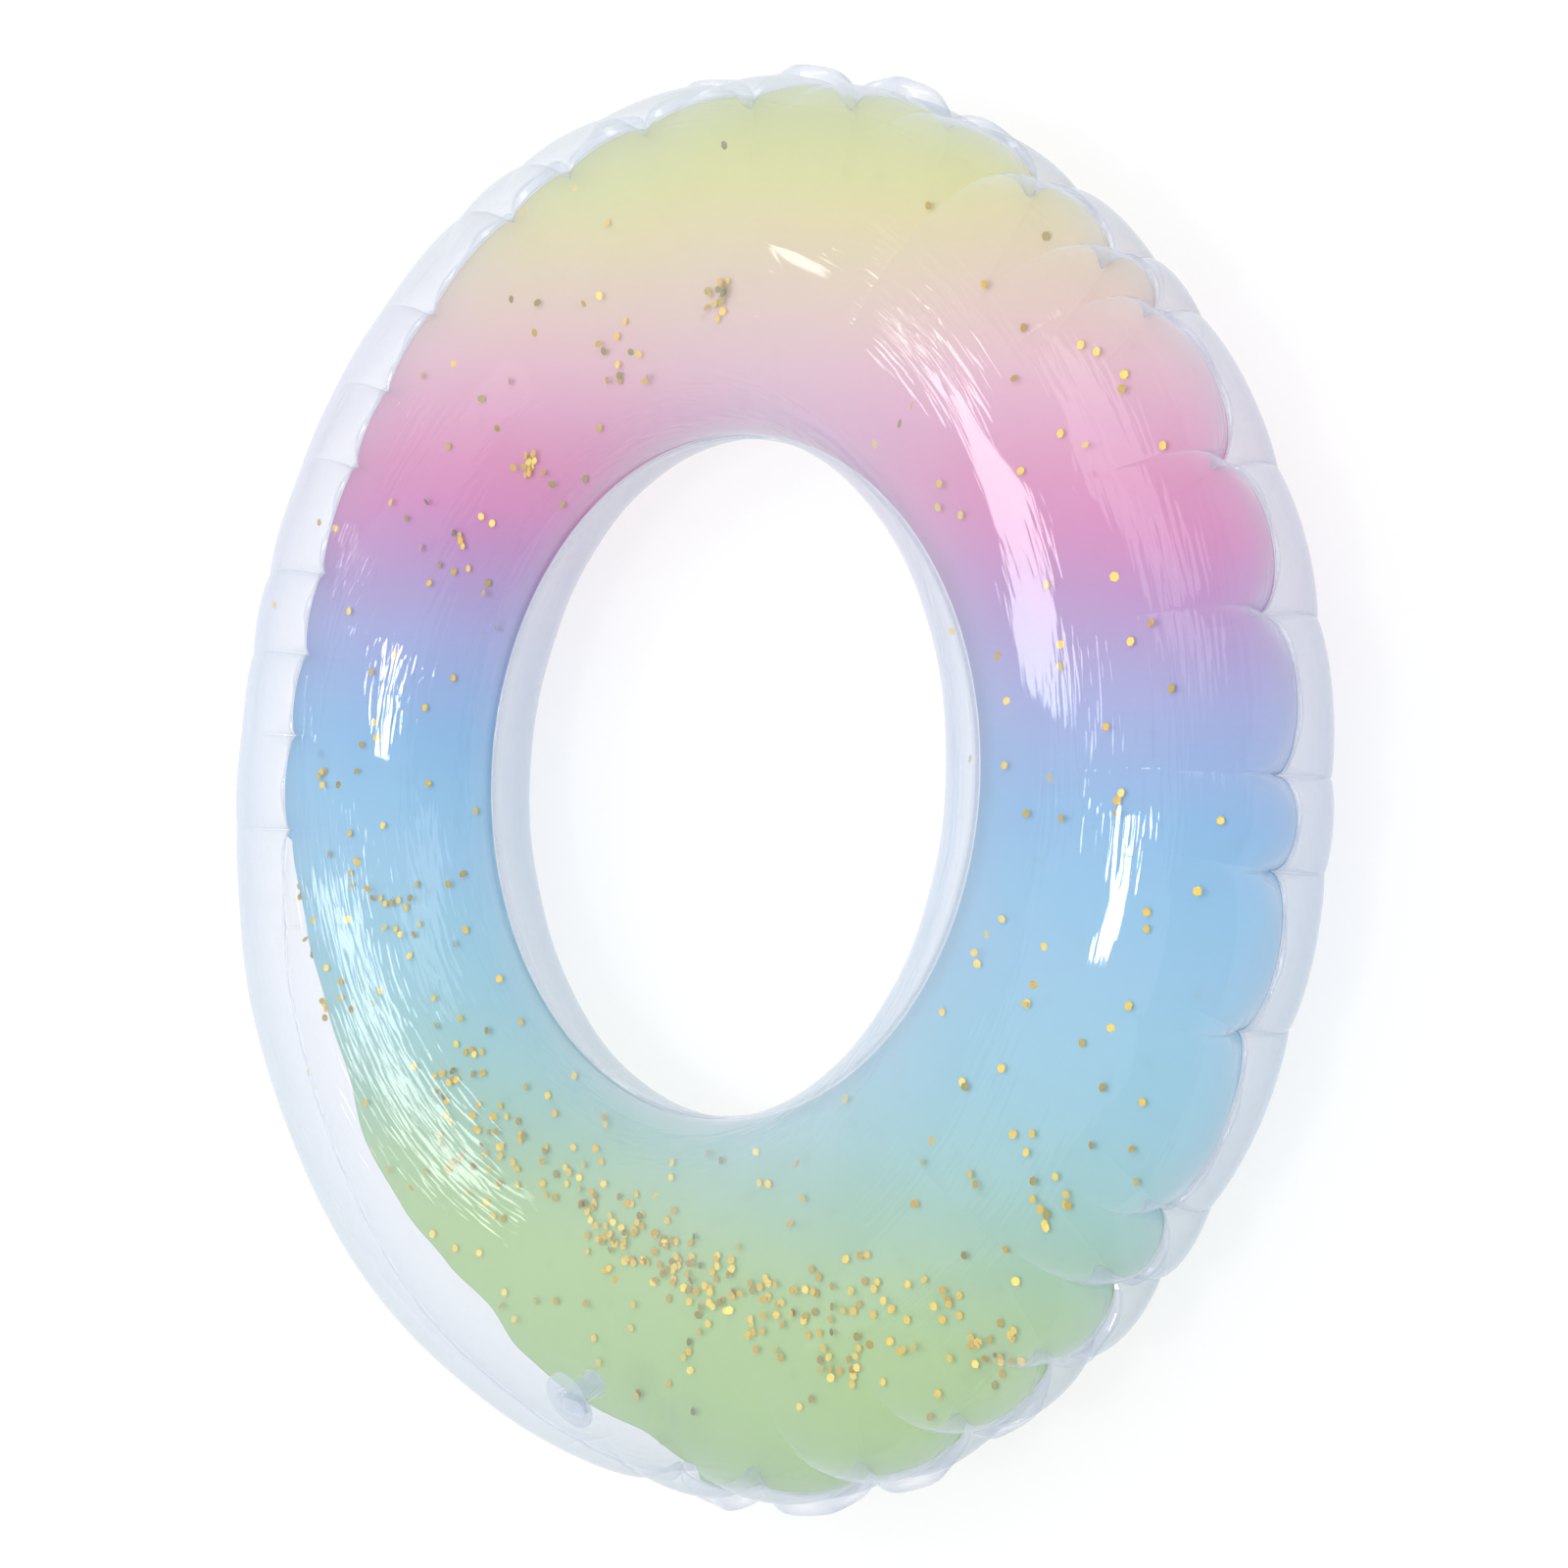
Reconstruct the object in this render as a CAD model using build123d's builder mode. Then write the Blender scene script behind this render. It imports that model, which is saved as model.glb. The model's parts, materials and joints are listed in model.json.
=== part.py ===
from build123d import *
import os
from math import cos, hypot, radians, sin, sqrt

# A clear vinyl swim ring, millimetres. It lies flat: +Z is the ring's axis, front film up.
# The ring is two clear films welded to a flat printed sheet between them, so it has two air
# chambers, joined by a gap in the sheet. One push-in valve sits in the front film.

# overall sizes
outer_diameter = 700.0
hole_diameter = 330.0
tube_height = 136.0

# films and seams
film_wall = 0.4
sheet_wall = 0.4
weld_width = 4.0
rest_flat_depth = 0.25  # how far the tube's lowest line is flattened where the ring lies

# the gap in the printed sheet that lets air into the back chamber
gap_start = 198.0  # degrees round the ring from +X
gap_angle = 56.0
gap_depth = 24.0

# loose foil flakes
flake_across_corners = 4.0
flake_thickness = 0.2
flake_lift = 0.5  # from the printed sheet to the flakes beside it
front_flake_count = 60
back_flake_count = 36
flake_margin = 30.0  # from the seams to the nearest flake
flake_radius_step = 0.5698  # shares of the whole that place each flake after the last
flake_turn_step = 0.7549

# valve place: round the ring, and up the tube's section from its outermost line
valve_angle = 264.0
valve_section_angle = 58.0

# valve sizes
flange_diameter = 30.0
flange_thickness = 1.2
stem_diameter = 12.0
stem_bore = 7.5
stem_length = 19.0
stem_proud = 0.5  # of the stem's rim above the flange when it is pushed in
collar_diameter = 14.8
collar_thickness = 1.5
running_clearance = 0.05
film_hole_clearance = 0.2  # between the film's hole and the collar
plug_shank_length = 9.0
plug_head_inset = 0.8  # from the stem's edge to the plug's head
plug_head_thickness = 1.4
plug_tip_chamfer = 0.8
flap_diameter = 9.2
flap_thickness = 0.8
flap_hinge_reach = 5.6  # from the valve's axis to the flap's hinge
flap_tab_width = 4.0
seat_gap = 0.05  # between the flap, or the plug's head, and the stem that it closes
strap_width = 9.0
strap_thickness = 0.7
strap_reach = 13.0  # how far the strap's fold stands out from the valve's axis
strap_foot_clearance = 0.15

# worked out from the sizes above
ring_radius = (outer_diameter + hole_diameter) / 4
half_width = (outer_diameter - hole_diameter) / 4 - weld_width
half_height = tube_height / 2
seam_height = half_height - rest_flat_depth
half_sheet = sheet_wall / 2
inner_seam_radius = ring_radius - half_width
outer_seam_radius = ring_radius + half_width
plug_head_diameter = stem_diameter - 2 * plug_head_inset

os.makedirs("parts", exist_ok=True)


def valve_place():
    # The valve's axis is square to the film, where the film's section is at the valve's angle.
    along = radians(valve_section_angle)
    round_ring = radians(valve_angle)
    radius = ring_radius + half_width * cos(along)
    height = seam_height + half_height * sin(along)
    out = half_height * cos(along)
    up = half_width * sin(along)
    length = hypot(out, up)
    axis = (out * cos(round_ring) / length, out * sin(round_ring) / length, up / length)
    point = (radius * cos(round_ring), radius * sin(round_ring), height)
    tangent = (-sin(round_ring), cos(round_ring), 0)
    return Plane(origin=point, x_dir=tangent, z_dir=axis)


valve_plane = valve_place()
flange_top = flange_thickness
stem_top = flange_top + stem_proud
stem_bottom = stem_top - stem_length
stem_radius = stem_diameter / 2
collar_radius = collar_diameter / 2
film_hole_radius = collar_radius + film_hole_clearance
cut_reach = half_height / 4  # clears the curved film under the whole flange
section_plane = Plane(origin=(0, 0, seam_height), x_dir=(1, 0, 0), z_dir=(0, -1, 0))


def half_oval(inset, side):
    # Half of the tube's oval section, inset by a wall, and flat underneath where the ring lies.
    reach = half_height - inset
    if side < 0:
        reach = seam_height - inset
    with BuildSketch() as half:
        with Locations((ring_radius, 0)):
            Ellipse(half_width - inset, half_height - inset)
        with Locations((ring_radius, side * reach / 2)):
            Rectangle(2 * half_width, reach, mode=Mode.INTERSECT)
    return half.sketch_local


def film_section(side):
    # The wall on one side of the printed sheet, with a flat weld land at each seam.
    land_width = weld_width + film_wall
    land_height = side * (half_sheet + film_wall / 2)
    inner_land = inner_seam_radius - weld_width + land_width / 2
    outer_land = outer_seam_radius + weld_width - land_width / 2
    with BuildSketch(section_plane) as section:
        add(half_oval(0, side))
        add(half_oval(film_wall, side), mode=Mode.SUBTRACT)
        with Locations((inner_land, land_height), (outer_land, land_height)):
            Rectangle(land_width, film_wall)
        with Locations((ring_radius, 0)):
            Rectangle(outer_diameter, sheet_wall, mode=Mode.SUBTRACT)
    return section.sketch


def make_front_film():
    with BuildPart() as front_film:
        add(film_section(1))
        revolve(axis=Axis.Z)
        with BuildSketch(valve_plane):
            Circle(film_hole_radius)
        extrude(amount=cut_reach, both=True, mode=Mode.SUBTRACT)
    return front_film


def make_back_film():
    with BuildPart() as back_film:
        add(film_section(-1))
        revolve(axis=Axis.Z)
    return back_film


def make_colour_sheet():
    # A flat washer of printed film, cut back along part of its outer seam.
    edge = outer_seam_radius
    start = gap_start
    end = gap_start + gap_angle
    middle = (start + end) / 2
    deepest = edge - gap_depth
    first = (edge * cos(radians(start)), edge * sin(radians(start)))
    last = (edge * cos(radians(end)), edge * sin(radians(end)))
    inmost = (deepest * cos(radians(middle)), deepest * sin(radians(middle)))
    with BuildPart() as colour_sheet:
        with BuildSketch(Plane.XY.offset(seam_height - half_sheet)):
            Circle(outer_diameter / 2)
            Circle(hole_diameter / 2, mode=Mode.SUBTRACT)
            with BuildLine():
                CenterArc((0, 0), edge, start, gap_angle)
                ThreePointArc(first, inmost, last)
            make_face(mode=Mode.SUBTRACT)
        extrude(amount=sheet_wall)
    return colour_sheet


def flake_places(count):
    # Evenly scattered over the sheet's width, since neither step repeats itself soon.
    low = inner_seam_radius + flake_margin
    high = outer_seam_radius - flake_margin
    places = []
    for k in range(1, count + 1):
        share = (flake_radius_step * k) % 1
        turn = radians(360 * ((flake_turn_step * k) % 1))
        radius = sqrt(low * low + share * (high * high - low * low))
        places.append((radius * cos(turn), radius * sin(turn)))
    return places


def make_flakes(count, height):
    with BuildPart() as flakes:
        with BuildSketch(Plane.XY.offset(height)):
            with Locations(*flake_places(count)):
                RegularPolygon(flake_across_corners / 2, 6)
        extrude(amount=flake_thickness)
    return flakes


def make_valve_flange():
    # A disc that follows the film, with a round hole square to the film for the stem.
    with BuildPart() as valve_flange:
        with BuildSketch(section_plane):
            with Locations((ring_radius, 0)):
                Ellipse(half_width + flange_thickness, half_height + flange_thickness)
                Ellipse(half_width, half_height, mode=Mode.SUBTRACT)
        revolve(axis=Axis.Z)
        with BuildSketch(valve_plane):
            Circle(flange_diameter / 2)
            Circle(stem_radius + running_clearance, mode=Mode.SUBTRACT)
        extrude(amount=cut_reach, both=True, mode=Mode.INTERSECT)
    return valve_flange


def make_valve_stem():
    # A soft tube with a collar on its inner end that stops it in the flange.
    with BuildPart() as valve_stem:
        with BuildSketch(valve_plane.offset(stem_bottom)):
            Circle(stem_radius)
        extrude(amount=stem_length)
        with BuildSketch(valve_plane.offset(stem_bottom)):
            Circle(collar_radius)
        extrude(amount=collar_thickness)
        with BuildSketch(valve_plane.offset(stem_bottom)):
            Circle(stem_bore / 2)
        extrude(amount=stem_length, mode=Mode.SUBTRACT)
    return valve_stem


def make_check_flap():
    # A disc under the stem's bore, with a tab rounded about its hinge line.
    top = stem_bottom - seat_gap
    hinge_height = top - flap_thickness / 2
    hinge_radius = flap_thickness / 2
    hinge_middle = valve_plane.from_local_coords((0, 0, hinge_height))
    hinge_plane = Plane(hinge_middle, valve_plane.x_dir, valve_plane.y_dir)
    with BuildPart() as check_flap:
        with BuildSketch(valve_plane.offset(top - flap_thickness)):
            Circle(flap_diameter / 2)
            with Locations((flap_hinge_reach / 2, 0)):
                Rectangle(flap_hinge_reach, flap_tab_width)
        extrude(amount=flap_thickness)
        with BuildSketch(hinge_plane):
            with Locations((flap_hinge_reach, 0)):
                Circle(hinge_radius)
        extrude(amount=flap_tab_width / 2, both=True)
    return check_flap


def make_valve_plug():
    # A stopper: a shank in the stem's bore and a round head on the stem's rim.
    head_bottom = stem_top + seat_gap
    shank_radius = stem_bore / 2 - running_clearance
    with BuildPart() as valve_plug:
        with BuildSketch(valve_plane.offset(head_bottom - plug_shank_length)):
            Circle(shank_radius)
        extrude(amount=plug_shank_length)
        tip = valve_plug.faces().filter_by(GeomType.PLANE).sort_by(Axis.Z)[0]
        chamfer(tip.edges(), plug_tip_chamfer)
        with BuildSketch(valve_plane.offset(head_bottom)):
            Circle(plug_head_diameter / 2)
        extrude(amount=plug_head_thickness)
    return valve_plug


def make_plug_strap():
    # A flat strap from the stem's rim, out over the flange and back onto the plug's head. Its
    # folded end is round, as a tab to pull the plug by.
    foot_start = plug_head_diameter / 2 + strap_foot_clearance
    low = stem_top
    high = stem_top + seat_gap + plug_head_thickness
    fold_height = (low + high + strap_thickness) / 2
    fold_radius = fold_height - low
    tab_middle = strap_reach + fold_radius - strap_width / 2
    strap_plane = Plane(valve_plane.origin, valve_plane.x_dir, -valve_plane.y_dir)
    with BuildPart() as plug_strap:
        with BuildSketch(strap_plane):
            with Locations((strap_reach, fold_height)):
                Circle(fold_radius)
            with Locations((strap_reach / 2, fold_height)):
                Rectangle(strap_reach, 2 * fold_radius)
            with Locations((strap_reach, fold_height)):
                Circle(fold_radius - strap_thickness, mode=Mode.SUBTRACT)
            with Locations((strap_reach / 2, fold_height)):
                Rectangle(strap_reach, 2 * (fold_radius - strap_thickness), mode=Mode.SUBTRACT)
            with Locations((foot_start / 2, low + strap_thickness / 2)):
                Rectangle(foot_start, strap_thickness, mode=Mode.SUBTRACT)
        extrude(amount=strap_width / 2, both=True)
        with BuildSketch(valve_plane):
            with Locations((tab_middle, 0)):
                Circle(strap_width / 2)
            with Locations((tab_middle / 2, 0)):
                Rectangle(tab_middle, strap_width)
        extrude(amount=strap_reach, mode=Mode.INTERSECT)
    return plug_strap


front_flake_height = seam_height + half_sheet + flake_lift
back_flake_height = seam_height - half_sheet - flake_lift - flake_thickness

front_film = make_front_film()
front_film.part.label = "front_film"
export_step(front_film.part, "parts/front_film.step")

back_film = make_back_film()
back_film.part.label = "back_film"
export_step(back_film.part, "parts/back_film.step")

colour_sheet = make_colour_sheet()
colour_sheet.part.label = "colour_sheet"
export_step(colour_sheet.part, "parts/colour_sheet.step")

front_flakes = make_flakes(front_flake_count, front_flake_height)
front_flakes.part.label = "front_flakes"
export_step(front_flakes.part, "parts/front_flakes.step")

back_flakes = make_flakes(back_flake_count, back_flake_height)
back_flakes.part.label = "back_flakes"
export_step(back_flakes.part, "parts/back_flakes.step")

valve_flange = make_valve_flange()
valve_flange.part.label = "valve_flange"
export_step(valve_flange.part, "parts/valve_flange.step")

valve_stem = make_valve_stem()
valve_stem.part.label = "valve_stem"
export_step(valve_stem.part, "parts/valve_stem.step")

check_flap = make_check_flap()
check_flap.part.label = "check_flap"
export_step(check_flap.part, "parts/check_flap.step")

valve_plug = make_valve_plug()
valve_plug.part.label = "valve_plug"
export_step(valve_plug.part, "parts/valve_plug.step")

plug_strap = make_plug_strap()
plug_strap.part.label = "plug_strap"
export_step(plug_strap.part, "parts/plug_strap.step")
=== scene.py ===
# Clear vinyl swim ring: two puckered clear films, a pastel printed sheet between them, loose gold
# foil flakes in both air chambers and a soft push-in valve. Metres, ring flat, +Z along its axis.
import bpy
import json
import math
import numpy as np
from mathutils import Matrix, Vector


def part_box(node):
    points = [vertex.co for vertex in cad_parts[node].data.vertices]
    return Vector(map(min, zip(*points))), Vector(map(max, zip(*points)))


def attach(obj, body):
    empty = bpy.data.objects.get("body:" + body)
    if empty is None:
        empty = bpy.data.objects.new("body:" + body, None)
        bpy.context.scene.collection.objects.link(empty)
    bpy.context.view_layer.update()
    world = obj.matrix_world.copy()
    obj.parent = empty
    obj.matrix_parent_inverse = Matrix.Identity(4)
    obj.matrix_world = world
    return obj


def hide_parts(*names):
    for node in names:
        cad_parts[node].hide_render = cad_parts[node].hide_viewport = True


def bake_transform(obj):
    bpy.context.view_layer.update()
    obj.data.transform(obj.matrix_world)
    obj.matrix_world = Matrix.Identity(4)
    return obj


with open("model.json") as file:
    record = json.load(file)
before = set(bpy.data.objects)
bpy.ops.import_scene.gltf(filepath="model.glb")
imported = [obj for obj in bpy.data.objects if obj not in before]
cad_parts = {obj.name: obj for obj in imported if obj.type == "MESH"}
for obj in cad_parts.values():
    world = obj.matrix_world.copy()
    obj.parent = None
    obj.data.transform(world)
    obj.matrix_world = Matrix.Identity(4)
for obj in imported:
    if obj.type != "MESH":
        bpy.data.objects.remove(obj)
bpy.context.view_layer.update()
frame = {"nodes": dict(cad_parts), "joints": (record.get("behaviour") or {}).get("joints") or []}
print("frame loaded:", sorted(frame["nodes"]))


def hexLinear(text, alpha=1.0):
    # sRGB hex to the linear colour that shaders take
    parts = [int(text[i:i + 2], 16) / 255 for i in (1, 3, 5)]
    return tuple(c / 12.92 if c <= 0.04045 else ((c + 0.055) / 1.055) ** 2.4 for c in parts) + (alpha,)


def addNode(tree, kind, links=None, **settings):
    # one node: settings are its own properties or its inputs' values, links feed its inputs
    made = tree.nodes.new(kind)
    for key, value in settings.items():
        if hasattr(made, key):
            setattr(made, key, value)
        else:
            made.inputs[key.replace("_", " ")].default_value = value
    for key, source in (links or {}).items():
        tree.links.new(source, made.inputs[key])
    return made


def newMaterial(name):
    made = bpy.data.materials.new(name)
    made.use_nodes = True
    made.node_tree.nodes.clear()
    return made, made.node_tree


def makePiece(name, points, faces, material, body):
    # a mesh object at the origin, smooth, in metres
    mesh = bpy.data.meshes.new(name)
    mesh.vertices.add(len(points))
    mesh.vertices.foreach_set("co", np.ascontiguousarray(points, dtype=np.float32).ravel())
    loops = np.concatenate([np.asarray(f, dtype=np.int32).ravel() for f in faces])
    sizes = np.concatenate([np.full(len(f), np.asarray(f).shape[1], dtype=np.int32) for f in faces])
    mesh.loops.add(len(loops))
    mesh.loops.foreach_set("vertex_index", loops)
    mesh.polygons.add(len(sizes))
    mesh.polygons.foreach_set("loop_start", np.concatenate([[0], np.cumsum(sizes)[:-1]]).astype(np.int32))
    mesh.update(calc_edges=True)
    mesh.validate()
    mesh.shade_smooth()
    piece = bpy.data.objects.new(name, mesh)
    bpy.context.scene.collection.objects.link(piece)
    mesh.materials.append(material)
    if body:
        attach(piece, body)
    return piece


# the ring's main sizes, read off the frame where it has them
sheetLow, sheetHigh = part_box("colour_sheet")
outerRadius = (sheetHigh[0] - sheetLow[0]) / 2
seamHeight = (sheetLow[2] + sheetHigh[2]) / 2
ringShape = {
    "holeRadius": 0.165,
    "halfHeight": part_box("front_film")[1][2] - seamHeight,
    "filmWall": 0.0004,
}
ringRadius = (outerRadius + ringShape["holeRadius"]) / 2
halfWidth = (outerRadius - ringShape["holeRadius"]) / 2

# where the outer seam is gathered into creases, degrees round the ring from +X; the stretch with
# no crease, beside the valve, is where the printed sheet stops short of the seam
puckers = {
    "angles": [0, 12, 24, 38, 44, 54, 65, 76, 88, 101, 111, 119, 132, 141, 149, 160, 168, 176, 185,
               194, 203, 256, 268, 277, 289, 300, 310, 319, 326, 341, 353],
    "seed": 7,
    "columnsEach": 24,
    "smoothFrom": 190,
    "smoothTo": 262,
    "strength": {0: 0.4, 40: 0.55, 62: 0.7, 80: 1.0, 112: 1.1, 150: 1.0, 185: 0.9, 203: 0.6, 262: 0.8,
                 280: 1.8, 312: 1.6, 330: 0.8},
}

# how far the outline stands out of a true circle, metres, at some angles round the ring
outlineShift = {0: 0.000, 25: -0.002, 55: -0.007, 90: -0.006, 130: -0.002, 165: -0.005, 185: 0.0,
                203: 0.007, 228: 0.007, 250: 0.001, 264: 0.000, 288: 0.004, 320: 0.000, 340: 0.000}

# width that the weld's ruffled lip adds at the middle of each lobe, metres, by angle
lipWidth = {0: 0.0, 50: 0.001, 72: 0.008, 108: 0.008, 130: 0.002, 200: 0.0, 258: 0.002, 274: 0.009,
            312: 0.006, 330: 0.001}


def roundRing(table, angles):
    # smooth periodic curve through a few values: a cosine step from each to the next
    keys = sorted(table)
    at = np.array(keys + [keys[0] + 360.0])
    values = np.array([table[k] for k in keys] + [table[keys[0]]])
    turned = np.mod(angles - at[0], 360) + at[0]
    slot = np.clip(np.searchsorted(at, turned, side="right") - 1, 0, len(keys) - 1)
    share = (turned - at[slot]) / (at[slot + 1] - at[slot])
    return values[slot] + (values[slot + 1] - values[slot]) * (0.5 - 0.5 * np.cos(math.pi * share))


def puckerColumns():
    # angles of the grid's columns: between two creases they crowd towards both
    edges = np.array(puckers["angles"] + [puckers["angles"][0] + 360.0])
    gaps = np.diff(edges)
    counts = np.maximum(6, np.round(puckers["columnsEach"] * np.minimum(gaps, 26) / 12)).astype(int)
    counts = np.where(gaps > 26, counts * 2, counts)
    steps = [0.5 - 0.5 * np.cos(np.pi * np.arange(c) / c) for c in counts]
    angles = np.concatenate([edges[i] + gaps[i] * steps[i] for i in range(len(gaps))])
    share = np.concatenate(steps)
    which = np.repeat(np.arange(len(gaps)), counts)
    return angles, share, which, gaps


columnAngle, columnShare, columnGap, gapDegrees = puckerColumns()
creaseCount = len(puckers["angles"])
print("creases:", creaseCount, "columns:", len(columnAngle))


def softness(angles):
    # 1 where the seam is gathered, 0.12 along the smooth stretch, with soft ends
    middle = (puckers["smoothFrom"] + puckers["smoothTo"]) / 2
    half = (puckers["smoothTo"] - puckers["smoothFrom"]) / 2
    away = np.abs(np.mod(angles - middle + 180, 360) - 180)
    return 0.12 + 0.88 / (1 + np.exp(-(away - half) / 2.5))


def seamLine(angles, share, gap):
    # radius of the outer seam: a round lobe between creases, so a sharp notch at each crease
    draw = np.random.default_rng(puckers["seed"])
    deep = draw.uniform(0.6, 1.25, creaseCount)
    lobe = np.sqrt(np.clip(4 * share * (1 - share), 0, 1))
    side = roundRing({0: 0.013, 40: 0.016, 58: 0.009, 75: 0.005, 110: 0.005, 150: 0.005, 185: 0.006,
                      270: 0.006, 300: 0.009, 330: 0.012}, angles)
    size = side * (deep[gap] * (1 - share) + deep[(gap + 1) % creaseCount] * share)
    radius = outerRadius - 0.004 - size * (1 - lobe) * softness(angles)
    smooth = (1 - softness(angles)) / 0.88
    return radius - 0.003 * (1 - smooth) + roundRing(outlineShift, angles)


seamRadius = seamLine(columnAngle, columnShare, columnGap)
innerSeam = ringShape["holeRadius"] + 0.0025


# creases and the air-filled lobes between them, metres; a crease widens by its spread as it runs in
creaseLook = {"depth": 0.0042, "width": 0.0024, "spread": 0.07, "lobeHeight": 0.0030}


def filmSurface(side, seed, rows):
    # The film on one side of the seam. Its section is the oval (r, h) = (R + a cos p, b sin p),
    # pulled in to the two seams, with creases that run in from the outer seam and fade, and
    # air-filled lobes between them. Rows run from the weld's edge up over the tube to the hole.
    draw = np.random.default_rng(seed)
    length = draw.uniform(0.018, 0.060, creaseCount) * draw.choice([0.6, 1.0, 1.4], creaseCount)
    depth = draw.uniform(0.6, 1.4, creaseCount)
    lean = draw.uniform(-0.20, 0.20, creaseCount)
    angle = np.radians(columnAngle)[:, None]
    ovalStep = np.linspace(0, 1, rows)[None, :]
    p = np.pi * (0.30 * ovalStep + 0.70 * ovalStep ** 1.8)  # rows crowd towards the outer seam
    shift = roundRing(outlineShift, columnAngle)[:, None]
    outward = np.clip(np.cos(p), 0, 1)
    r = ringRadius + halfWidth * np.cos(p) + shift * outward
    h = ringShape["halfHeight"] * np.sin(p) + 0 * angle
    # groove at each seam
    seamPull = (outerRadius + shift[:, 0] - seamRadius)[:, None]
    r = r - np.where(p < np.pi / 2, seamPull * np.exp(-(h / 0.022) ** 1.3), 0)
    innerPull = innerSeam - ringShape["holeRadius"]
    r = r + np.where(p > np.pi / 2, innerPull * np.exp(-(h / 0.010) ** 1.4), 0)
    # distance along the section from the outer seam
    along = np.concatenate([np.zeros((len(columnAngle), 1)),
                            np.cumsum(np.hypot(np.diff(r, axis=1), np.diff(h, axis=1)), axis=1)], axis=1)
    share = columnShare[:, None]
    gap = columnGap
    nextGap = (gap + 1) % creaseCount
    gapLength = np.radians(gapDegrees[gap])[:, None] * outerRadius
    fromLeft = share * gapLength
    fromRight = (1 - share) * gapLength
    inward = np.zeros_like(r)
    strong = roundRing(puckers["strength"], columnAngle)[:, None]
    for near, index in ((fromLeft, gap), (fromRight, nextGap)):
        longer = 1 + (0.9 if side < 0 else 0.25) * np.clip(strong - 1, 0, 1)
        reach = length[index][:, None] * np.clip(strong, 0.55, 1) * longer
        fade = np.clip(1 - along / reach, 0, 1) ** 1.5
        width = creaseLook["width"] + creaseLook["spread"] * along
        inward += creaseLook["depth"] * depth[index][:, None] * fade * np.exp(-near / width)
    lobe = 4 * share * (1 - share)
    reach = (length[gap] * (1 - columnShare) + length[nextGap] * columnShare)[:, None]
    fade = np.exp(-(along / (0.9 * reach)) ** 1.3) * np.clip(along / 0.004, 0, 1)
    puff = creaseLook["lobeHeight"] * (lobe - 0.45) * fade
    move = (puff - inward) * softness(columnAngle)[:, None] * strong * (1.0 if side > 0 else 0.85)
    # outward normal of the section
    dr = np.gradient(r, axis=1)
    dh = np.gradient(h, axis=1)
    size = np.hypot(dr, dh) + 1e-9
    normalR, normalH = dh / size, -dr / size
    r = r + move * normalR
    h = np.maximum(h + move * normalH, 0)
    # long shallow waves of soft film, seen in its highlights
    wave = 0.00035 * np.sin(7 * angle + 3 * p) + 0.00025 * np.sin(17 * angle - 5 * p + side)
    wave = wave * np.clip(along / 0.03, 0, 1) * np.sin(p)
    r = r + wave * normalR
    h = h + wave * normalH
    return angle + 0 * p, r, h


def gridFaces(columns, rows, flip):
    # quads of a grid that closes round the ring
    i = np.arange(columns)[:, None]
    j = np.arange(rows - 1)[None, :]
    a = i * rows + j
    b = ((i + 1) % columns) * rows + j
    quads = np.stack([a, b, b + 1, a + 1], axis=-1).reshape(-1, 4)
    return quads[:, ::-1] if flip else quads


def makeFilm(name, side, seed, material):
    rows = 64
    wall = ringShape["filmWall"]
    turn, r, h = filmSurface(side, seed, rows)
    # the flat weld rim outside the groove, and a short one inside the hole's groove
    lobe = np.sqrt(np.clip(4 * columnShare * (1 - columnShare), 0, 1))
    lip = 0.0006 + softness(columnAngle) * (0.0012 + lobe * roundRing(lipWidth, columnAngle))
    lip = lip[:, None]
    rim = np.array([1.0, 0.55, 0.15])[None, :]
    ruffle = (0.0007 + 0.2 * lip) * np.sin(np.radians(columnAngle) * 62)[:, None] * rim
    rimR = seamRadius[:, None] + lip * rim
    turn = np.concatenate([turn[:, :1].repeat(3, 1), turn, turn[:, :2]], axis=1)
    innerRim = innerSeam - np.array([0.0008, 0.0020])[None, :] + 0 * seamRadius[:, None]
    r = np.concatenate([rimR, r, innerRim], axis=1)
    base = 0.0002 + wall / 2
    h = np.concatenate([side * ruffle, h, np.zeros_like(innerRim)], axis=1)
    h = np.concatenate([side * ruffle + base, h[:, 3:] + base], axis=1)
    if side < 0:
        h = np.minimum(h, seamHeight - wall / 2)  # lies flat on the floor
    points = np.stack([r * np.cos(turn), r * np.sin(turn), seamHeight + side * h], axis=-1)
    columns, allRows = r.shape
    faces = gridFaces(columns, allRows, side < 0)
    piece = makePiece(name, points.reshape(-1, 3), [faces], material, "ring")
    solid = piece.modifiers.new("wall", "SOLIDIFY")
    solid.thickness = wall
    solid.offset = 0
    return piece


# The film is clear plasticised PVC, calendered: very smooth, a little blue and hazy seen edge on.
# Haze is the share of light that it scatters, from square on to edge on.
filmLook = {
    "tintFacing": "#fdfdfe",
    "tintEdge": "#f7f8fa",
    "haze": "#dce5ef",
    "hazeFacing": 0.016,
    "hazeEdge": 0.38,
    "mirrorFacing": 0.032,
    "mirrorEdge": 0.55,
    "roughness": 0.05,
    "crinkleMm": 3.2,
    "crinkleHeightMm": 0.8,
}

# The valve is the same vinyl, moulded and thicker, so it is milkier
valveLook = {
    "tintFacing": "#fbfcfe",
    "tintEdge": "#f3f6fb",
    "haze": "#dfe7ee",
    "hazeFacing": 0.13,
    "hazeEdge": 0.60,
    "mirrorFacing": 0.07,
    "mirrorEdge": 0.85,
    "roughness": 0.07,
    "crinkleMm": 2.0,
    "crinkleHeightMm": 0.01,
}


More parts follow.
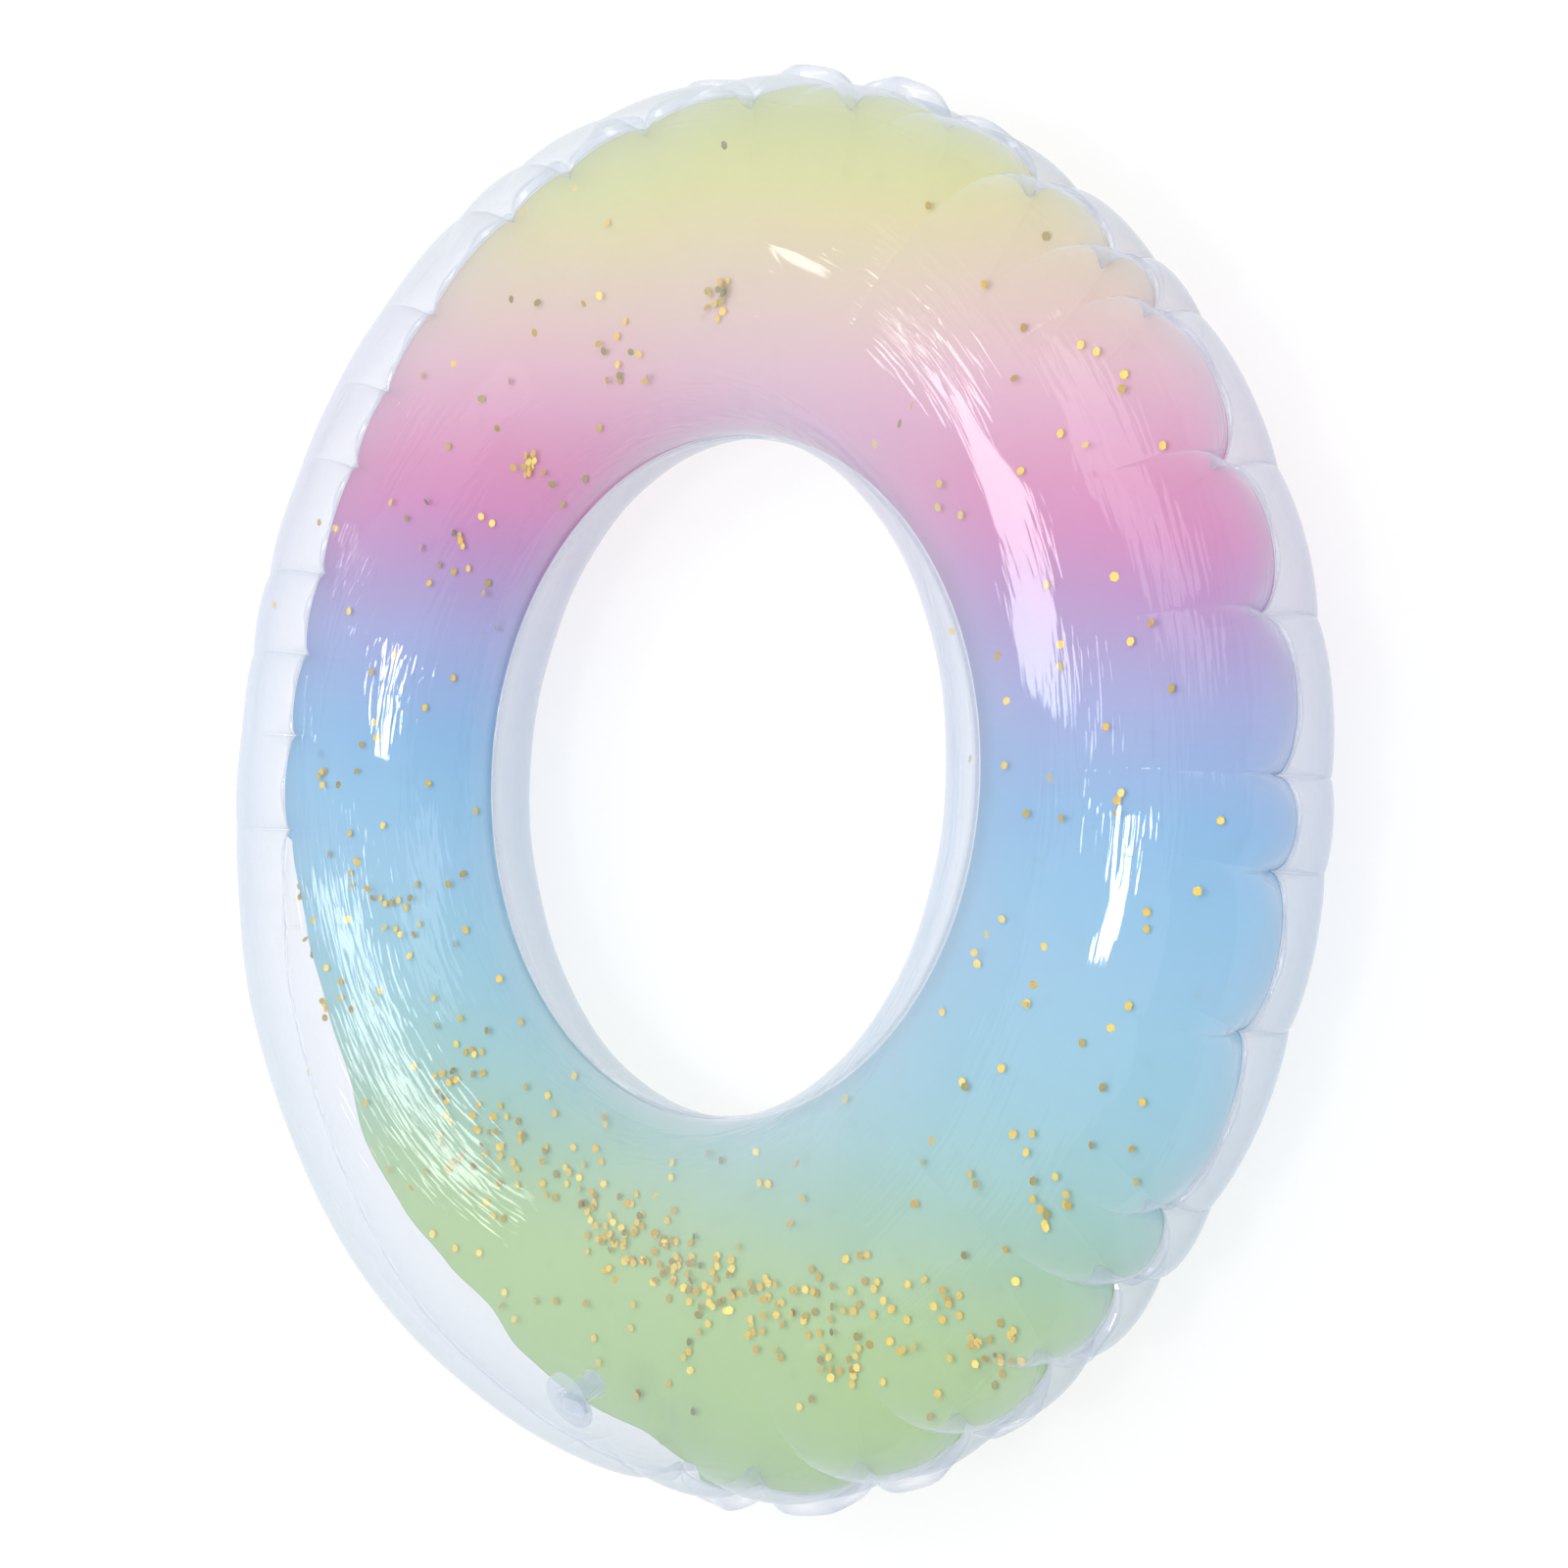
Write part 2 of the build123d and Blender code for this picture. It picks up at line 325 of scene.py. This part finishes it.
def clearVinylMaterial(name, look, alongRing):
    # Light goes through, is scattered by the haze, or is mirrored: each share grows edge on
    made, tree = newMaterial(name)
    weight = addNode(tree, "ShaderNodeLayerWeight", Blend=0.5)
    facing = weight.outputs["Facing"]
    curved = addNode(tree, "ShaderNodeMath", {0: facing}, operation="POWER")
    curved.inputs[1].default_value = 1.6
    tint = addNode(tree, "ShaderNodeMix", {"Factor": curved.outputs[0]}, data_type="RGBA")
    tint.inputs[6].default_value = hexLinear(look["tintFacing"])
    tint.inputs[7].default_value = hexLinear(look["tintEdge"])
    # Schlick's curve: mirror = facing value + (edge value - facing value) * edge-on share ^ 5
    fifth = addNode(tree, "ShaderNodeMath", {0: facing}, operation="POWER")
    fifth.inputs[1].default_value = 5.0
    mirror = addNode(tree, "ShaderNodeMath", {0: fifth.outputs[0]}, operation="MULTIPLY_ADD")
    mirror.inputs[1].default_value = look["mirrorEdge"] - look["mirrorFacing"]
    mirror.inputs[2].default_value = look["mirrorFacing"]
    hazeShare = addNode(tree, "ShaderNodeMath", {0: curved.outputs[0]}, operation="MULTIPLY_ADD")
    hazeShare.inputs[1].default_value = look["hazeEdge"] - look["hazeFacing"]
    hazeShare.inputs[2].default_value = look["hazeFacing"]
    place = addNode(tree, "ShaderNodeTexCoord")
    lines = place.outputs["Object"]
    scale = 1000 / look["crinkleMm"]
    if alongRing:
        # crinkles a few mm apart that run round the ring: noise over (direction from the ring's
        # middle, angle round the tube's own middle line)
        flat = addNode(tree, "ShaderNodeVectorMath", {0: lines}, operation="MULTIPLY")
        flat.inputs[1].default_value = (1, 1, 0)
        unit = addNode(tree, "ShaderNodeVectorMath", {0: flat.outputs[0]}, operation="NORMALIZE")
        far = addNode(tree, "ShaderNodeVectorMath", {0: flat.outputs[0]}, operation="LENGTH")
        outward = addNode(tree, "ShaderNodeMath", {0: far.outputs["Value"]}, operation="SUBTRACT")
        outward.inputs[1].default_value = ringRadius
        parts = addNode(tree, "ShaderNodeSeparateXYZ", {0: lines})
        upward = addNode(tree, "ShaderNodeMath", {0: parts.outputs["Z"]}, operation="SUBTRACT")
        upward.inputs[1].default_value = seamHeight
        around = addNode(tree, "ShaderNodeMath", {0: upward.outputs[0], 1: outward.outputs[0]},
                         operation="ARCTAN2")
        across = addNode(tree, "ShaderNodeMath", {0: around.outputs[0]}, operation="MULTIPLY")
        across.inputs[1].default_value = halfWidth * scale
        grown = addNode(tree, "ShaderNodeCombineXYZ", {"Z": across.outputs[0]})
        run = addNode(tree, "ShaderNodeVectorMath", {0: unit.outputs[0], 2: grown.outputs[0]},
                      operation="MULTIPLY_ADD")
        run.inputs[1].default_value = (9, 9, 9)
        lines, scale = run.outputs[0], 1.0
    crinkle = addNode(tree, "ShaderNodeTexNoise", {"Vector": lines}, Scale=scale, Detail=1.0,
                      Roughness=0.4, Distortion=0.3)
    patches = addNode(tree, "ShaderNodeTexNoise", {"Vector": place.outputs["Object"]}, Scale=11.0,
                      Detail=1.0)
    taut = addNode(tree, "ShaderNodeMapRange", {"Value": patches.outputs["Fac"]})
    taut.inputs["From Min"].default_value = 0.37
    taut.inputs["From Max"].default_value = 0.56
    height = addNode(tree, "ShaderNodeMath", {0: crinkle.outputs["Fac"], 1: taut.outputs[0]},
                     operation="MULTIPLY")
    bump = addNode(tree, "ShaderNodeBump", {"Height": height.outputs[0]}, Strength=1.0,
                   Distance=look["crinkleHeightMm"] / 1000)
    through = addNode(tree, "ShaderNodeBsdfTransparent", {"Color": tint.outputs[2]})
    cloud = addNode(tree, "ShaderNodeBsdfDiffuse", Color=hexLinear(look["haze"]))
    gloss = addNode(tree, "ShaderNodeBsdfGlossy", {"Normal": bump.outputs[0]},
                    Color=(1, 1, 1, 1), Roughness=look["roughness"])
    body = addNode(tree, "ShaderNodeMixShader", {0: hazeShare.outputs[0], 1: through.outputs[0],
                                                 2: cloud.outputs[0]})
    surface = addNode(tree, "ShaderNodeMixShader", {0: mirror.outputs[0], 1: body.outputs[0],
                                                    2: gloss.outputs[0]})
    addNode(tree, "ShaderNodeOutputMaterial", {"Surface": surface.outputs[0]})
    return made


clearFilm = clearVinylMaterial("clearPvcFilm", filmLook, True)
mouldedVinyl = clearVinylMaterial("mouldedClearVinyl", valveLook, False)
frontFilm = makeFilm("frontFilm", 1, 11, clearFilm)
backFilm = makeFilm("backFilm", -1, 23, clearFilm)
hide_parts("front_film")
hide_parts("back_film")
print("films made:", len(frontFilm.data.polygons), "faces each")

# The print, along its own run: millimetres from the ring's centre, yellow-green edge positive
printLook = {
    "turn": -5.0,  # degrees the bands are turned from the ring's X
    "bands": [(-345, "#c3dea2"), (-290, "#c9e2a4"), (-250, "#cde4ab"), (-222, "#c9e2b9"),
              (-190, "#bfdfcd"), (-160, "#bce1df"), (-125, "#b7e0e9"), (-95, "#b5dfec"),
              (-62, "#b3dcee"), (-30, "#abd9ee"), (5, "#a6d2ed"), (32, "#b1caea"), (58, "#bec3e7"),
              (82, "#c9b5de"), (104, "#d7a7d6"), (126, "#e6a1d0"), (150, "#eba9ce"), (176, "#eebed6"),
              (202, "#f1d1d8"), (226, "#f1dcd2"), (250, "#f0e3c8"), (272, "#f0e8b8"), (292, "#ebebaa"),
              (318, "#e5e8a1"), (345, "#e2e69f")],
}


def printedSheetMaterial():
    # Soft white vinyl printed with a translucent pastel run, semi-gloss, light glows through it
    made, tree = newMaterial("printedVinylSheet")
    place = addNode(tree, "ShaderNodeTexCoord")
    turn = math.radians(printLook["turn"])
    mapping = addNode(tree, "ShaderNodeMapping", {"Vector": place.outputs["Object"]})
    mapping.inputs["Rotation"].default_value = (0, 0, -turn)
    split = addNode(tree, "ShaderNodeSeparateXYZ", {0: mapping.outputs[0]})
    mottle = addNode(tree, "ShaderNodeTexNoise", {"Vector": place.outputs["Object"]},
                     Scale=9.0, Detail=2.0, Roughness=0.5)
    drift = addNode(tree, "ShaderNodeMath", {0: mottle.outputs["Fac"], 2: split.outputs[1]},
                    operation="MULTIPLY_ADD")
    drift.inputs[1].default_value = 0.018
    half = 0.345
    share = addNode(tree, "ShaderNodeMapRange", {"Value": drift.outputs[0]})
    share.inputs["From Min"].default_value = -half + 0.009
    share.inputs["From Max"].default_value = half + 0.009
    ramp = addNode(tree, "ShaderNodeValToRGB", {"Fac": share.outputs[0]})
    stops = ramp.color_ramp.elements
    bands = printLook["bands"]
    while len(stops) < len(bands):
        stops.new(0.5)
    for stop, (mm, colour) in zip(stops, bands):
        stop.position = (mm / 1000 + half) / (2 * half)
    for stop, (mm, colour) in zip(stops, bands):
        stop.color = hexLinear(colour)
    face = addNode(tree, "ShaderNodeBsdfPrincipled", {"Base Color": ramp.outputs["Color"]},
                   Roughness=0.38, IOR=1.5)
    glow = addNode(tree, "ShaderNodeBsdfTranslucent", {"Color": ramp.outputs["Color"]})
    clear = addNode(tree, "ShaderNodeBsdfTransparent", {"Color": ramp.outputs["Color"]})
    solid = addNode(tree, "ShaderNodeMixShader", {1: face.outputs[0], 2: glow.outputs[0]})
    solid.inputs[0].default_value = 0.34
    surface = addNode(tree, "ShaderNodeMixShader", {1: solid.outputs[0], 2: clear.outputs[0]})
    surface.inputs[0].default_value = 0.26
    addNode(tree, "ShaderNodeOutputMaterial", {"Surface": surface.outputs[0]})
    return made


# radius of the sheet's cut edge along the smooth stretch, metres, by degrees round the ring
sheetEdge = {186: 0.336, 194: 0.330, 203: 0.3245, 210: 0.322, 217: 0.328, 225: 0.325, 233: 0.320,
             240: 0.3165, 246: 0.3235, 254: 0.326, 262: 0.326, 270: 0.336}


def makeColourSheet():
    # A flat washer from seam to seam. Along the smooth stretch its outer edge stops short of the
    # seam in a wavy cut; it ripples a little where the seam is gathered.
    rows = 26
    shortOf = np.minimum(seamRadius - 0.0004, roundRing(sheetEdge, columnAngle))
    inCut = (columnAngle > 186) & (columnAngle < 270)
    rim = np.where(inCut, shortOf, seamRadius - 0.0004)
    inner = innerSeam + 0.0004
    step = (1 - (1 - np.linspace(0, 1, rows)) ** 1.6)[None, :]
    r = inner + (rim[:, None] - inner) * step
    angle = np.radians(columnAngle)[:, None]
    lobe = (4 * columnShare * (1 - columnShare))[:, None]
    ripple = 0.0022 * (lobe - 0.5) * np.exp(-(rim[:, None] - r) / 0.018) * (1 - step ** 60)
    h = ripple * softness(columnAngle)[:, None]
    points = np.stack([r * np.cos(angle), r * np.sin(angle), seamHeight + h], axis=-1)
    faces = gridFaces(len(columnAngle), rows, True)
    sheet = makePiece("colourSheet", points.reshape(-1, 3), [faces], printedSheetMaterial(),
                      "ring")
    solid = sheet.modifiers.new("wall", "SOLIDIFY")
    solid.thickness = 0.0003
    solid.offset = 0
    return sheet


colourSheet = makeColourSheet()
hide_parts("colour_sheet")
print("printed sheet made")

# The valve's own frame: its axis from its joint, its middle line from the stem's own mesh
pushJoint = next(j for j in frame["joints"] if j["name"] == "stem_push")
valveAxis = np.array(pushJoint["axis"], dtype=float)
valveAxis = valveAxis / np.linalg.norm(valveAxis)
# the strap's way out from the axis is +valveSide
valveSide = np.cross([0.0, 0.0, 1.0], valveAxis)
valveSide = valveSide / np.linalg.norm(valveSide)
valveUp = np.cross(valveAxis, valveSide)


def nodePoints(node):
    # a CAD node's vertices, in metres
    mesh = frame["nodes"][node].data
    points = np.empty(len(mesh.vertices) * 3, dtype=np.float32)
    mesh.vertices.foreach_get("co", points)
    return points.reshape(-1, 3).astype(float)


def middleAlong(points, direction):
    # halfway between the two ends along a direction
    reach = points @ direction
    return (reach.min() + reach.max()) / 2


stemPoints = nodePoints("valve_stem")
stemTop = (stemPoints @ valveAxis).max()
valveMiddle = middleAlong(stemPoints, valveSide) * valveSide + middleAlong(stemPoints, valveUp) * valveUp
rimMiddle = valveMiddle + stemTop * valveAxis


def cutValveHole(piece, radius):
    # the film is punched where the stem goes through it
    bpy.ops.mesh.primitive_cylinder_add(vertices=64, radius=radius, depth=0.03)
    punch = bpy.context.object
    turn = Matrix(np.column_stack([valveSide, valveUp, valveAxis]).tolist()).to_4x4()
    punch.matrix_world = Matrix.Translation(Vector(rimMiddle)) @ turn
    cut = piece.modifiers.new("valveHole", "BOOLEAN")
    cut.operation = "DIFFERENCE"
    cut.object = punch
    cut.solver = "EXACT"
    bpy.context.view_layer.update()
    finished = piece.evaluated_get(bpy.context.evaluated_depsgraph_get())
    mesh = bpy.data.meshes.new_from_object(finished)
    piece.modifiers.clear()
    piece.data = mesh
    mesh.shade_smooth()
    bpy.data.objects.remove(punch)


filmHoleRadius = 0.0076
cutValveHole(frontFilm, filmHoleRadius)
print("valve hole cut:", len(frontFilm.data.polygons), "faces in the front film")

for node in ("valve_flange", "valve_stem", "check_flap", "valve_plug"):
    slots = frame["nodes"][node].data.materials
    slots.clear()
    slots.append(mouldedVinyl)

strapLook = {"thickness": 0.0007, "rowsAcross": 11, "stepsAlong": 60, "edgeRound": 0.25,
             "cornerRadius": 0.0015}


def makePlugStrap():
    # A flat strap from the stem's rim, out over the film and folded back onto the plug's head, with
    # a round tab at the fold. Its size is its CAD node's, seen along the valve's own axes.
    points = nodePoints("plug_strap") - rimMiddle
    thick = strapLook["thickness"]
    tabEnd = (points @ valveSide).max()
    half = (points @ valveUp).max()
    low, high = (points @ valveAxis).min() + thick / 2, (points @ valveAxis).max() - thick / 2
    lowPart = points[points @ valveAxis < (low + high) / 2 - thick]
    footStart = (lowPart @ valveSide).min()
    foldRadius = (high - low) / 2
    foldAt = tabEnd - thick / 2 - foldRadius
    # middle line: straight out, half a turn, straight back
    outward = foldAt - footStart
    turnLength = math.pi * foldRadius
    total = outward + turnLength + foldAt
    s = np.linspace(0, total, strapLook["stepsAlong"])
    turnAngle = np.clip((s - outward) / foldRadius, 0, math.pi)
    back = np.clip(s - outward - turnLength, 0, None)
    x = np.minimum(footStart + s, foldAt) + foldRadius * np.sin(turnAngle) - back
    z = low + foldRadius * (1 - np.cos(turnAngle))
    nx, nz = np.sin(turnAngle), -np.cos(turnAngle)
    # half width shrinks round the tab's end, and at the two cut ends by a small corner radius
    fromTab = np.clip(tabEnd - half - x, None, 0)
    reach = np.sqrt(np.clip(half ** 2 - fromTab ** 2, (0.35 * half) ** 2, None))
    corner = strapLook["cornerRadius"]
    fromCut = np.clip(corner - np.minimum(s, total - s), 0, None)
    reach = reach - (corner - np.sqrt(corner ** 2 - fromCut ** 2))
    across = np.sin(np.linspace(-math.pi / 2, math.pi / 2, strapLook["rowsAcross"]))
    # thickness eases off towards both long edges
    ease = np.sqrt(1 - strapLook["edgeRound"] * across ** 6)
    sides = []
    for way in (1, -1):
        offset = way * thick / 2 * ease[None, :]
        px = x[:, None] + nx[:, None] * offset
        pz = z[:, None] + nz[:, None] * offset
        py = reach[:, None] * across[None, :] + 0 * px
        sides.append(np.stack([px, py, pz], axis=-1))
    steps, rows = sides[0].shape[:2]
    local = np.concatenate([sides[0].reshape(-1, 3), sides[1].reshape(-1, 3)])
    world = (rimMiddle + local[:, :1] * valveSide + local[:, 1:2] * valveUp + local[:, 2:] * valveAxis)
    i = np.arange(steps - 1)[:, None]
    j = np.arange(rows - 1)[None, :]
    a = i * rows + j
    front = np.stack([a, a + 1, a + rows + 1, a + rows], axis=-1).reshape(-1, 4)
    n = steps * rows
    under = front[:, ::-1] + n
    border = np.concatenate([np.arange(rows), np.arange(1, steps) * rows + rows - 1,
                             (steps - 1) * rows + np.arange(rows - 2, -1, -1),
                             np.arange(steps - 2, 0, -1) * rows])
    after = np.roll(border, -1)
    rim = np.stack([border, border + n, after + n, after], axis=-1)
    strap = makePiece("plugStrap", world, [front, under, rim], mouldedVinyl, None)
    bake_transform(strap)
    return strap


plugStrap = makePlugStrap()
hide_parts("plug_strap")
print("valve made")

# Loose flakes: hexagons punched from gold metallised polyester film, 4 mm across
flakeLook = {
    "radius": 0.0021,
    "thickness": 0.00012,
    "tilt": 17.0,  # degrees, typical lean off flat
    "bright": "#ffe268",
    "gold": "#e2b730",
    "shaded": "#84803a",
    "scatteredFront": 190,
    "scatteredOnFilm": 40,
    "scatteredBack": 110,
}
# heaps: degrees round the ring, mm from its centre, mm of spread, flakes
frontHeaps = [(244, 229, 16, 16), (251, 233, 15, 22), (258, 236, 14, 26), (265, 240, 14, 30),
              (272, 249, 13, 26), (279, 256, 13, 20), (286, 263, 16, 20), (294, 276, 18, 16),
              (92, 236, 6, 17), (131, 217, 7, 15), (110, 226, 14, 8), (146, 232, 13, 8),
              (226, 262, 16, 12), (303, 300, 20, 18), (222, 250, 20, 14), (233, 238, 18, 16),
              (197, 252, 16, 10), (290, 300, 18, 10), (307, 322, 14, 14), (318, 285, 22, 14)]
backHeaps = [(191, 331, 5, 15), (203, 326, 5, 16), (197, 329, 6, 8), (266, 322, 9, 10),
             (304, 318, 13, 16), (258, 316, 12, 8)]


def flakePlaces(seed, heaps, scattered, lowest):
    # heaped flakes in round heaps, and scattered ones evenly by area with more to one side
    draw = np.random.default_rng(seed)
    heap = np.array(heaps, dtype=float)
    count = heap[:, 3].astype(int)
    angle = np.radians(np.repeat(heap[:, 0], count))
    middle = np.repeat(heap[:, 1], count) / 1000
    spread = np.repeat(heap[:, 2], count) / 1000
    x = middle * np.cos(angle) + spread * draw.normal(0, 0.75, len(angle))
    y = middle * np.sin(angle) + spread * draw.normal(0, 0.75, len(angle))
    low, high = ringShape["holeRadius"] + 0.012, outerRadius - lowest
    many = 2 * scattered
    radius = np.sqrt(draw.uniform(low ** 2, high ** 2, many))
    turn = draw.uniform(0, 2 * math.pi, many)
    keep = draw.uniform(0, 1, many) < 0.62 - 0.30 * np.sin(turn)
    sx, sy = (radius * np.cos(turn))[keep][:scattered], (radius * np.sin(turn))[keep][:scattered]
    x, y = np.concatenate([x, sx]), np.concatenate([y, sy])
    far = np.hypot(x, y)
    held = np.clip(far, ringShape["holeRadius"] + 0.010, outerRadius - 0.013) / far
    return x * held, y * held


def flakeMaterial():
    # Vacuum-metallised polyester under gold lacquer: a mirror, each flake a little different
    made, tree = newMaterial("goldMetallisedFoil")
    shade = addNode(tree, "ShaderNodeAttribute", attribute_name="flakeShade")
    ramp = addNode(tree, "ShaderNodeValToRGB", {"Fac": shade.outputs["Fac"]})
    stops = ramp.color_ramp.elements
    stops.new(0.45)
    for stop, place, colour in zip(stops, (0.0, 0.45, 1.0), ("shaded", "gold", "bright")):
        stop.position = place
        stop.color = hexLinear(flakeLook[colour])
    place = addNode(tree, "ShaderNodeTexCoord")
    # scuffs 0.5 mm across in the lacquer
    scuffs = addNode(tree, "ShaderNodeTexNoise", {"Vector": place.outputs["Object"]}, Scale=2000.0,
                     Detail=2.0)
    dull = addNode(tree, "ShaderNodeMapRange", {"Value": scuffs.outputs["Fac"]})
    dull.inputs["To Min"].default_value = 0.22
    dull.inputs["To Max"].default_value = 0.42
    glitter = addNode(tree, "ShaderNodeBump", {"Height": scuffs.outputs["Fac"]}, Strength=1.0,
                      Distance=0.0003)
    foil = addNode(tree, "ShaderNodeBsdfPrincipled",
                   {"Base Color": ramp.outputs["Color"], "Roughness": dull.outputs[0],
                    "Normal": glitter.outputs[0]}, Metallic=0.7)
    addNode(tree, "ShaderNodeOutputMaterial", {"Surface": foil.outputs[0]})
    return made


def makeFlakes(name, seed, centres, normals, material):
    # one thin hexagonal plate at each place, leaning off its normal by a small chance angle
    draw = np.random.default_rng(seed)
    n = len(centres)
    lean = np.radians(np.clip(np.abs(draw.normal(0, flakeLook["tilt"], n)), 0, 40))
    way = draw.uniform(0, 2 * math.pi, n)
    first = np.cross(normals, np.array([0.31, 0.95, 0.05]))
    first /= np.linalg.norm(first, axis=1)[:, None]
    second = np.cross(normals, first)
    side = first * np.cos(way)[:, None] + second * np.sin(way)[:, None]
    normal = normals * np.cos(lean)[:, None] + side * np.sin(lean)[:, None]
    other = np.cross(normal, side)
    other /= np.linalg.norm(other, axis=1)[:, None]
    flat = np.cross(other, normal)
    centres = centres + normals * (flakeLook["radius"] * np.sin(lean))[:, None]
    corner = np.arange(6) * math.pi / 3
    size = flakeLook["radius"] * draw.uniform(0.9, 1.08, n)[:, None, None]
    outline = size * (flat[:, None, :] * np.cos(corner)[None, :, None]
                      + other[:, None, :] * np.sin(corner)[None, :, None])
    lift = normal[:, None, :] * flakeLook["thickness"] / 2
    points = np.concatenate([centres[:, None, :] + outline + lift, centres[:, None, :] + outline - lift],
                            axis=1)
    base = 12 * np.arange(n)[:, None]
    top = base + np.arange(6)[None, :]
    bottom = base + 6 + np.arange(5, -1, -1)[None, :]
    k = np.arange(6)
    sides = np.stack([k, k + 6, (k + 1) % 6 + 6, (k + 1) % 6], axis=-1)[None, :, :] + base[:, :, None]
    piece = makePiece(name, points.reshape(-1, 3), [top, bottom, sides.reshape(-1, 4)], material,
                      "ring")
    piece.data.shade_flat()
    shade = piece.data.attributes.new("flakeShade", "FLOAT", "POINT")
    shade.data.foreach_set("value", np.repeat(draw.uniform(0, 1, n) ** 0.8, 12).astype(np.float32))
    return piece


def onTube(seed, count, side):
    # places on the inner face of a film, well inside its creases, and the way in from it
    draw = np.random.default_rng(seed)
    turn = draw.uniform(0, 2 * math.pi, count)
    p = np.radians(draw.uniform(55, 140, count))
    wide, tall = halfWidth - 0.0042, ringShape["halfHeight"] - 0.0042
    r = ringRadius + wide * np.cos(p)
    h = side * tall * np.sin(p)
    outR, outH = np.cos(p) / wide, side * np.sin(p) / tall
    size = np.hypot(outR, outH)
    centres = np.stack([r * np.cos(turn), r * np.sin(turn), seamHeight + h], axis=-1)
    inwards = -np.stack([outR / size * np.cos(turn), outR / size * np.sin(turn), outH / size], axis=-1)
    return centres, inwards


goldFoil = flakeMaterial()
for name, node, side, seed, heaps, scattered, clinging in (
        ("frontFlakes", "front_flakes", 1, 41, frontHeaps, flakeLook["scatteredFront"],
         flakeLook["scatteredOnFilm"]),
        ("backFlakes", "back_flakes", -1, 57, backHeaps, flakeLook["scatteredBack"],
         flakeLook["scatteredOnFilm"])):
    x, y = flakePlaces(seed, heaps, scattered, 0.03)
    pile = np.abs(np.random.default_rng(seed + 1).normal(0, 0.0007, len(x)))
    onSheet = np.stack([x, y, seamHeight + side * (0.0012 + pile)], axis=-1)
    away = np.tile([0.0, 0.0, float(side)], (len(x), 1))
    onFilm, inwards = onTube(seed + 2, clinging, side)
    made = makeFlakes(name, seed, np.concatenate([onSheet, onFilm]), np.concatenate([away, inwards]),
                      goldFoil)
    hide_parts(node)
print("flakes made")

# Floor, lights and camera. The floor glows a little of its own, like a light table.
stageLook = {"floor": "#7c7d7f", "floorGlow": 0.78, "world": "#f2f4f8", "worldStrength": 0.86}


def makeStage():
    mesh = bpy.data.meshes.new("studioFloor")
    wide = 40.0  # half the floor's side, metres, so that its edge is out of sight
    mesh.from_pydata([(-wide, -wide, 0), (wide, -wide, 0), (wide, wide, 0), (-wide, wide, 0)], [],
                     [(0, 1, 2, 3)])
    floor = bpy.data.objects.new("studioFloor", mesh)
    bpy.context.scene.collection.objects.link(floor)
    made, tree = newMaterial("matteFloor")
    paint = addNode(tree, "ShaderNodeBsdfPrincipled", Roughness=0.9,
                    Base_Color=hexLinear(stageLook["floor"]), Emission_Color=(1, 1, 1, 1),
                    Emission_Strength=stageLook["floorGlow"])
    addNode(tree, "ShaderNodeOutputMaterial", {"Surface": paint.outputs[0]})
    mesh.materials.append(made)
    world = bpy.data.worlds.new("studio")
    world.use_nodes = True
    sky = world.node_tree.nodes["Background"]
    sky.inputs["Color"].default_value = hexLinear(stageLook["world"])
    sky.inputs["Strength"].default_value = stageLook["worldStrength"]
    bpy.context.scene.world = world


def softbox(name, toward, distance, width, height, power, up=(0, 1, 0)):
    # a rectangular lamp out along a direction from the ring, facing it
    lamp = bpy.data.lights.new(name, "AREA")
    lamp.shape = "RECTANGLE"
    lamp.size = width
    lamp.size_y = height
    lamp.energy = power
    box = bpy.data.objects.new(name, lamp)
    away = Vector(toward).normalized()
    right = Vector(up).cross(away).normalized()
    upright = away.cross(right)
    turn = Matrix((right, upright, away)).transposed().to_4x4()
    centre = Vector((0, 0, seamHeight))
    box.matrix_world = Matrix.Translation(centre + away * distance) @ turn
    bpy.context.scene.collection.objects.link(box)


makeStage()
softbox("keyStrip", (-0.46, 0.175, 0.86), 2.2, 0.82, 0.52, 7.8)
for share, power in ((1.0, 8.0), (0.75, 4.2), (0.5, 1.8)):
    # three nested lamps make one softbox that fades towards its edges
    softbox("broadFill", (0.45, 0.45, 0.68), 2.6, 2.3 * share, 1.0 * share, power, (0.42, 0.90, 0.0))
softbox("windowGlint", (0.17, -0.12, 0.97), 2.4, 0.30, 0.42, 8.0)
softbox("overhead", (0.0, 0.0, 1.0), 4.5, 6.0, 6.0, 40)

camera = bpy.data.objects.new("camera", bpy.data.cameras.new("camera"))
bpy.context.scene.collection.objects.link(camera)
camera.data.lens = 76.0
camera.data.sensor_width = 36.0
camera.data.clip_end = 200
centre = Vector((0, 0, seamHeight))
lookAlong = Vector((-0.6907, 0.0281, -0.7226)).normalized()
cameraUp = Vector((0, 0.99924, 0.0389))
cameraRight = lookAlong.cross(cameraUp).normalized()
cameraUp = cameraRight.cross(lookAlong)
turn = Matrix((cameraRight, cameraUp, -lookAlong)).transposed().to_4x4()
camera.matrix_world = Matrix.Translation(centre + Vector((1.1424, -0.0484, 1.1485))) @ turn
bpy.context.scene.camera = camera
bpy.context.scene.view_settings.view_transform = "Standard"
bpy.context.scene.cycles.transparent_max_bounces = 48
print("stage made")
